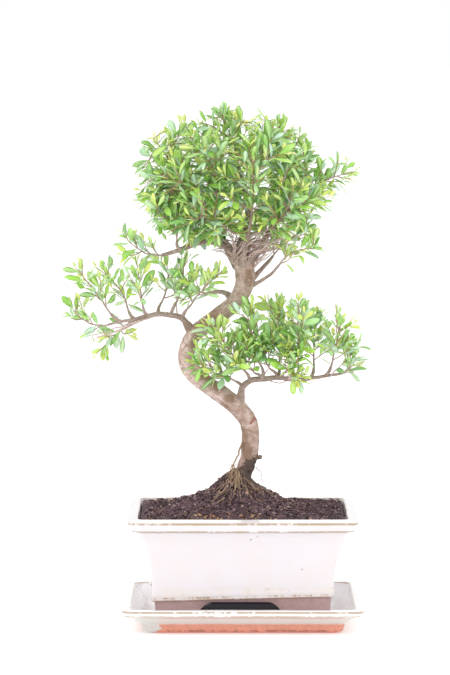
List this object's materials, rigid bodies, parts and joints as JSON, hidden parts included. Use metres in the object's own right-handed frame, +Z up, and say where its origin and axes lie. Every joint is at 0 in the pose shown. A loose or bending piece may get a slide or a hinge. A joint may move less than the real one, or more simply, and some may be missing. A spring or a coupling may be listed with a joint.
{
  "type": "bonsai tree in a pot",
  "caption": "Small-leaved bonsai tree with an S-curved trunk, planted in a rectangular glazed pot with arched feet that stands on a matching drip tray.",
  "frame": {"origin": "centre of the drip tray's underside, on the table", "axes": "+Z up, +X along the pot's long side, -Y towards the tree's front"},
  "size_m": [0.2863, 0.175, 0.4924],
  "materials": {
    "cream_glaze": "glossy cream glaze, plain foot skirt",
    "tray_glaze": "glossy cream glaze over a terracotta foot band",
    "screen_plastic": "moulded mesh",
    "potting_soil": "dark damp compost",
    "bark": "smooth pinkish-beige bark, matte",
    "leaf": "waxy, semi-gloss"
  },
  "bodies": {
    "root": {"crown_back_limb": "bark", "crown_back_spray_1": "leaf", "crown_back_spray_2": "leaf", "crown_back_spray_3": "leaf", "crown_centre_limb": "bark", "crown_centre_spray_1": "leaf", "crown_centre_spray_2": "leaf", "crown_centre_spray_3": "leaf", "crown_front_limb": "bark", "crown_front_spray_1": "leaf", "crown_front_spray_2": "leaf", "crown_front_spray_3": "leaf", "crown_left_limb": "bark", "crown_left_spray_1": "leaf", "crown_left_spray_2": "leaf", "crown_left_spray_3": "leaf", "crown_right_limb": "bark", "crown_right_spray_1": "leaf", "crown_right_spray_2": "leaf", "crown_right_spray_3": "leaf", "drain_screen_left": "screen_plastic", "drain_screen_right": "screen_plastic", "drip_tray": "tray_glaze", "left_low_branch": "bark", "left_low_spray_1": "leaf", "left_low_spray_2": "leaf", "left_low_spray_3": "leaf", "left_low_spray_4": "leaf", "left_low_spray_5": "leaf", "left_low_spray_6": "leaf", "left_low_spray_7": "leaf", "left_low_spray_8": "leaf", "left_middle_branch": "bark", "left_middle_spray_1": "leaf", "left_top_branch": "bark", "left_top_spray_1": "leaf", "left_top_spray_2": "leaf", "left_top_spray_3": "leaf", "pot": "cream_glaze", "right_fork_branch": "bark", "right_fork_spray_1": "leaf", "right_low_branch": "bark", "right_low_spray_1": "leaf", "right_low_spray_2": "leaf", "right_low_spray_3": "leaf", "right_low_spray_4": "leaf", "right_low_spray_5": "leaf", "right_low_spray_6": "leaf", "right_low_spray_7": "leaf", "right_low_spray_8": "leaf", "right_low_spray_9": "leaf", "right_small_branch": "bark", "right_small_spray_1": "leaf", "soil": "potting_soil", "trunk": "bark"}
  },
  "joints": []
}
